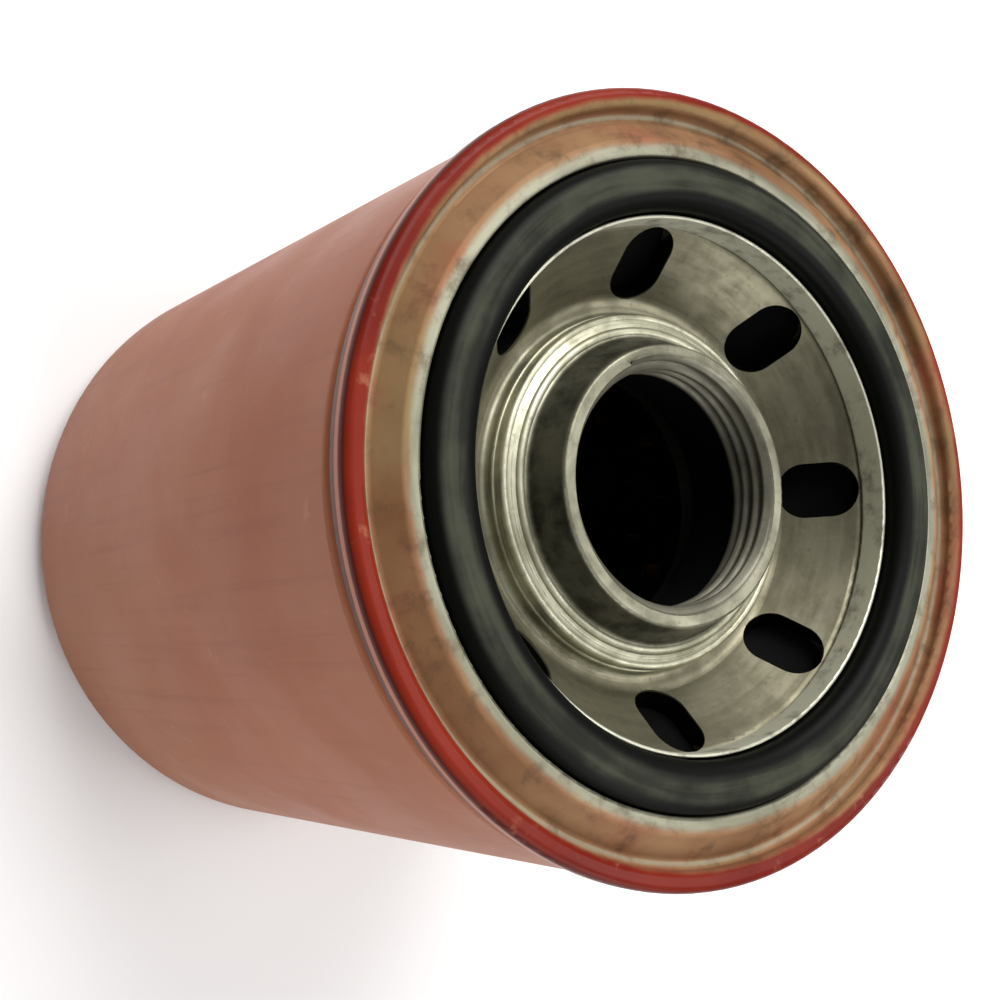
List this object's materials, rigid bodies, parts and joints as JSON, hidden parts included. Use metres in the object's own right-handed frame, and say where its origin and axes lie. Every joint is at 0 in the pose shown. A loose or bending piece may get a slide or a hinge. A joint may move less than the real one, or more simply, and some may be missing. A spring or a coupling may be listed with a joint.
{
  "type": "oil filter",
  "caption": "Spin-on canister oil filter with a rolled seam, base gasket, slotted threaded plate, pleated element and sprung valves.",
  "frame": {"origin": "centre of the closed end, on the plane that the end stands on", "axes": "+Z along the can's axis, out of the threaded end; one inlet slot lies on +X and one on +Y"},
  "size_m": [0.08, 0.08, 0.0927],
  "materials": {
    "can_paint": "satin red-brown enamel, sprayed over the can and its seam",
    "tinned_lid": "tinned sheet, satin, warm champagne tone; painted with the can outside the countersink",
    "seam_compound": "cured seaming compound",
    "plate_steel": "pressed steel, warm grey, satin with turned marks on the hub",
    "gasket_rubber": "oiled nitrile rubber",
    "valve_rubber": "matte black nitrile rubber",
    "cap_steel": "tinned pressed steel",
    "potting": "cured plastisol adhesive",
    "filter_paper": "resin-cured filter paper, crinkled",
    "clip_steel": "bright strip steel",
    "tube_steel": "perforated steel, dark oiled",
    "valve_nylon": "glass-filled nylon, black",
    "cage_steel": "zinc-plated pressed steel",
    "spring_steel": "oil-tempered spring wire"
  },
  "bodies": {
    "can": {"can_shell": "can_paint", "seaming_lid": "tinned_lid", "seam_compound": "seam_compound", "tapping_plate": "plate_steel", "base_gasket": "gasket_rubber", "drainback_collar": "valve_rubber", "element_spring": "spring_steel"},
    "flap": {"drainback_flap": "valve_rubber"},
    "element": {"top_end_cap": "cap_steel", "top_potting": "potting", "pleated_media": "filter_paper", "media_clip": "clip_steel", "centre_tube": "tube_steel", "bottom_potting": "potting", "bottom_end_cap": "cap_steel", "bypass_seat": "valve_nylon", "bypass_cage": "cage_steel", "spring_cup": "cage_steel", "bypass_spring": "spring_steel"},
    "poppet": {"bypass_poppet": "valve_nylon", "bypass_washer": "valve_rubber", "poppet_clip": "clip_steel"}
  },
  "joints": [
    {"name": "element_float", "type": "slide", "parent": "can", "child": "element", "axis": [0, 0, 1], "range_m": [-0.0025, 0], "stiffness_N_per_m": 4000, "springref_m": 0.008, "deforming": ["element_spring"]},
    {"name": "bypass_lift", "type": "slide", "parent": "element", "child": "poppet", "axis": [0, 0, 1], "range_m": [0, 0.0035], "stiffness_N_per_m": 3000, "springref_m": -0.005, "deforming": ["bypass_spring"]},
    {"name": "drainback_lift", "type": "slide", "parent": "can", "child": "flap", "axis": [0, 0, -1], "range_m": [0, 0.0015], "stiffness_N_per_m": 300, "springref_m": -0.0005}
  ]
}
